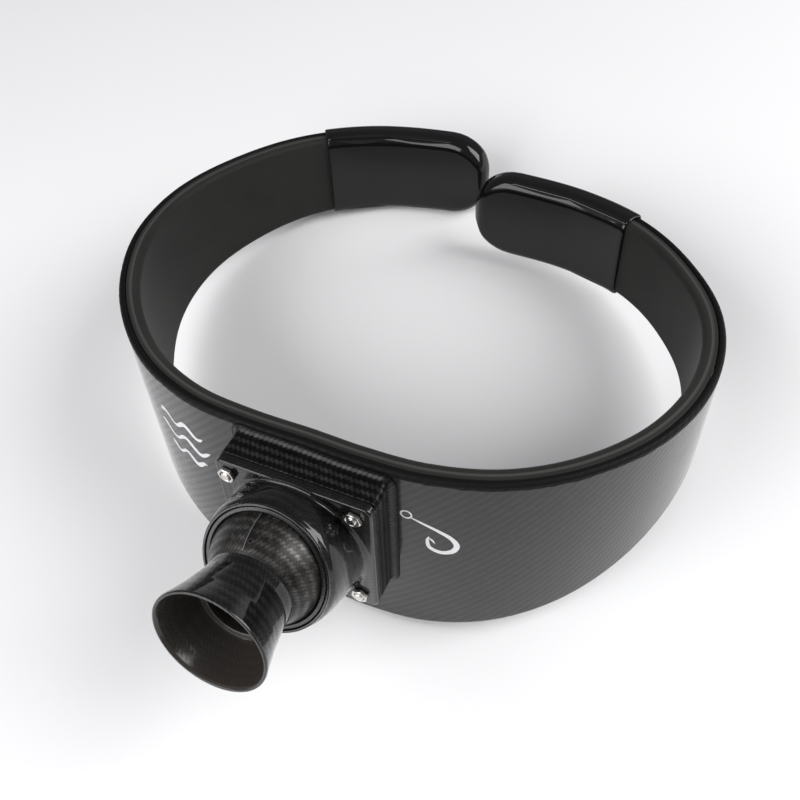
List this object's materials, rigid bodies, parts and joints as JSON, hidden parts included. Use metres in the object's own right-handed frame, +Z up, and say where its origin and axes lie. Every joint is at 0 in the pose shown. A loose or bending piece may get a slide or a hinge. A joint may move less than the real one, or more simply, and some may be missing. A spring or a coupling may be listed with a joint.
{
  "type": "fishing fighting belt",
  "caption": "Springy C-shaped waist hoop with a deep front apron, foam lining and dipped ends, carrying a swivelling ball-and-socket cup for a fishing rod's butt.",
  "frame": {"origin": "middle of the bounding box on the surface that the belt lies on", "axes": "+Z up, -Y towards the rod cup at the front, +X to the right seen from the front; the hoop's rim slopes down to the back by 15 degrees, as the belt lies at rest"},
  "size_m": [0.3398, 0.3762, 0.1504],
  "materials": {
    "carbon": "fine twill carbon laminate under clear gloss",
    "carbon_dark": "coarse twill carbon laminate under clear gloss",
    "foam": "matt closed-cell foam",
    "dipped_rubber": "smooth glossy dip",
    "ring_plastic": "satin black",
    "stainless": "bright machined"
  },
  "bodies": {
    "belt": {"shell": "carbon", "liner": "foam", "end_sleeve_left": "dipped_rubber", "end_sleeve_right": "dipped_rubber", "mount_pad": "carbon", "socket_housing": "carbon_dark", "stud_upper_left": "stainless", "nut_upper_left": "stainless", "stud_upper_right": "stainless", "nut_upper_right": "stainless", "stud_lower_left": "stainless", "nut_lower_left": "stainless", "stud_lower_right": "stainless", "nut_lower_right": "stainless"},
    "seat_ring_body": {"seat_ring": "ring_plastic"},
    "cup_body": {"ball": "carbon_dark", "rod_cup": "carbon_dark"}
  },
  "joints": [
    {"name": "socket_turn", "type": "hinge", "parent": "belt", "child": "seat_ring_body", "pos_m": [0.00678, -0.12985, 0.10212], "axis": [0, -0.7638, 0.6454], "continuous": true},
    {"name": "cup_tilt", "type": "hinge", "parent": "seat_ring_body", "child": "cup_body", "pos_m": [0.00678, -0.12985, 0.10212], "axis": [-1, 0, 0], "range_deg": [-12.8, 37.2]}
  ]
}
